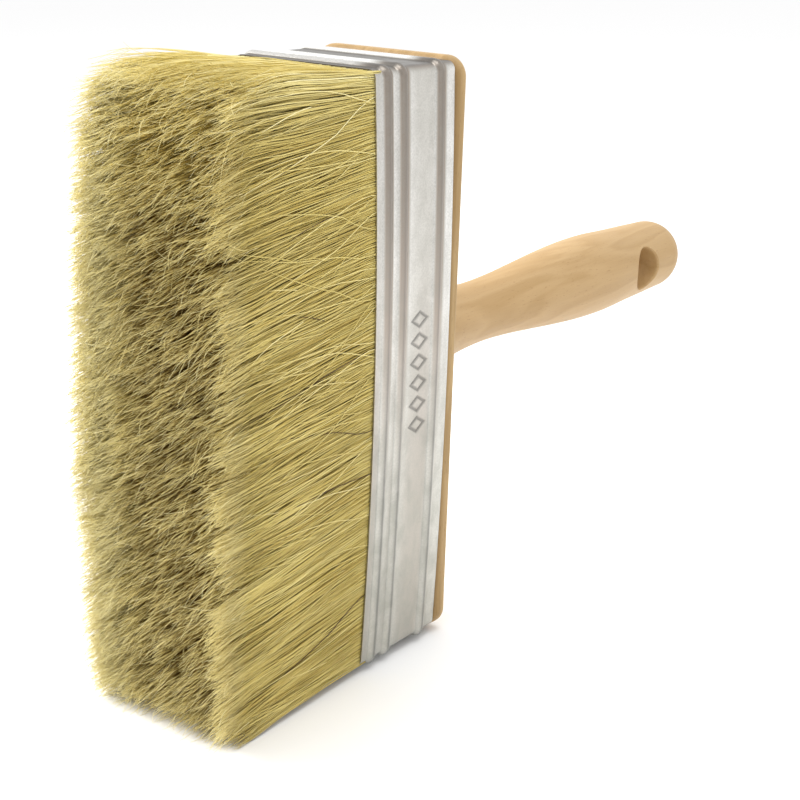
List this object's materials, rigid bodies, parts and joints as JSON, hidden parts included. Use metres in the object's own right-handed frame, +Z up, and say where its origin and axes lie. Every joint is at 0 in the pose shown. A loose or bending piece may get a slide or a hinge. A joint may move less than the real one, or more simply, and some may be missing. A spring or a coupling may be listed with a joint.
{
  "type": "block paint brush",
  "caption": "Wide block brush: bristle packs in a beaded, bowed tinplate ferrule round a wooden block, with a turned wooden handle that has a hanging hole.",
  "frame": {"origin": "centre of the bounding box's base, where the brush stands on one narrow end", "axes": "+X along the brush from the bristle tips to the handle's end, +Y through its thickness, +Z up across its width"},
  "size_m": [0.2254, 0.0448, 0.1465],
  "materials": {
    "handle_wood": "smooth pale beech, sealed, soft satin",
    "block_wood": "sanded beech, warmer and darker at the edge",
    "tinplate": "satin tinplate, slightly clouded",
    "tack_steel": "plain wire steel",
    "resin": "hardened resin",
    "strip_wood": "sawn softwood",
    "bristle": "pale natural hog bristle with flagged tips"
  },
  "bodies": {
    "root": {"handle": "handle_wood", "block": "block_wood", "ferrule": "tinplate", "ferrule_tacks": "tack_steel", "resin_setting": "resin", "filler_strip_near": "strip_wood", "filler_strip_far": "strip_wood", "bristles_near": "bristle", "bristles_middle": "bristle", "bristles_far": "bristle"}
  },
  "joints": []
}
